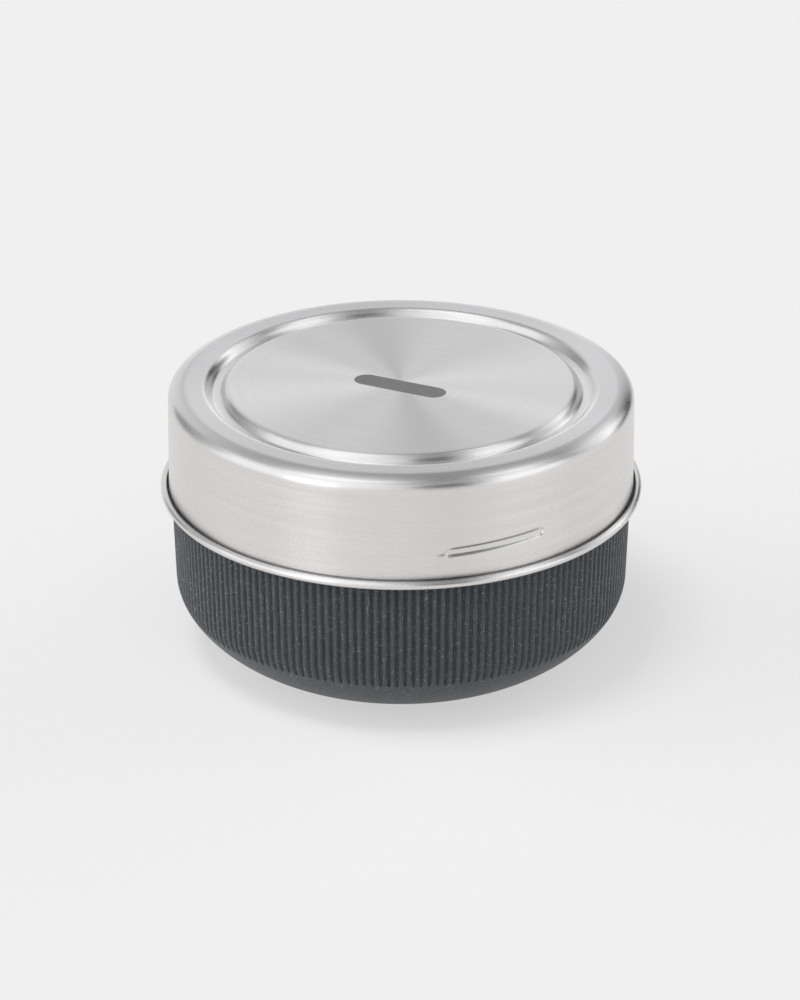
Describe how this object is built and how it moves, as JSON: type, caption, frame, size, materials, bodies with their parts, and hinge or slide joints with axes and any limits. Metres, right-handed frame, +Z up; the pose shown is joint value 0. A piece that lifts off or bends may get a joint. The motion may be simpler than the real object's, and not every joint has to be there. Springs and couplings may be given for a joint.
{
  "type": "lunch bowl",
  "caption": "Round lunch bowl: a ribbed slate outer bowl with a steel bowl inside it, closed by a pressed steel lid that twists down on thread ramps against a silicone seal.",
  "frame": {"origin": "on the floor under the middle of the foot ring", "axes": "+Z up along the bowl's axis, -Y towards the front that the picture shows, +X to its right"},
  "size_m": [0.16, 0.16, 0.0918],
  "materials": {
    "slate_plastic": "satin moulded plastic with fine pale specks",
    "bowl_steel": "satin, spun",
    "gasket_silicone": "matt silicone",
    "lid_steel": "brushed, spun on top",
    "seal_silicone": "matt silicone"
  },
  "bodies": {
    "bowl": {"outer_bowl": "slate_plastic", "inner_bowl": "bowl_steel", "liner_gasket": "gasket_silicone"},
    "seal": {"lid_seal": "seal_silicone"},
    "lid": {"lid_shell": "lid_steel"}
  },
  "joints": [
    {"name": "lid_rise", "type": "slide", "parent": "bowl", "child": "seal", "axis": [0, 0, 1], "range_m": [0, 0.044]},
    {"name": "lid_twist", "type": "hinge", "parent": "seal", "child": "lid", "pos_m": [0, 0, 0], "axis": [0, 0, 1], "range_deg": [0, 720]}
  ],
  "couplings": [
    {"joint": "lid_rise", "follows": "lid_twist", "m_per_rad": 0.0035}
  ]
}
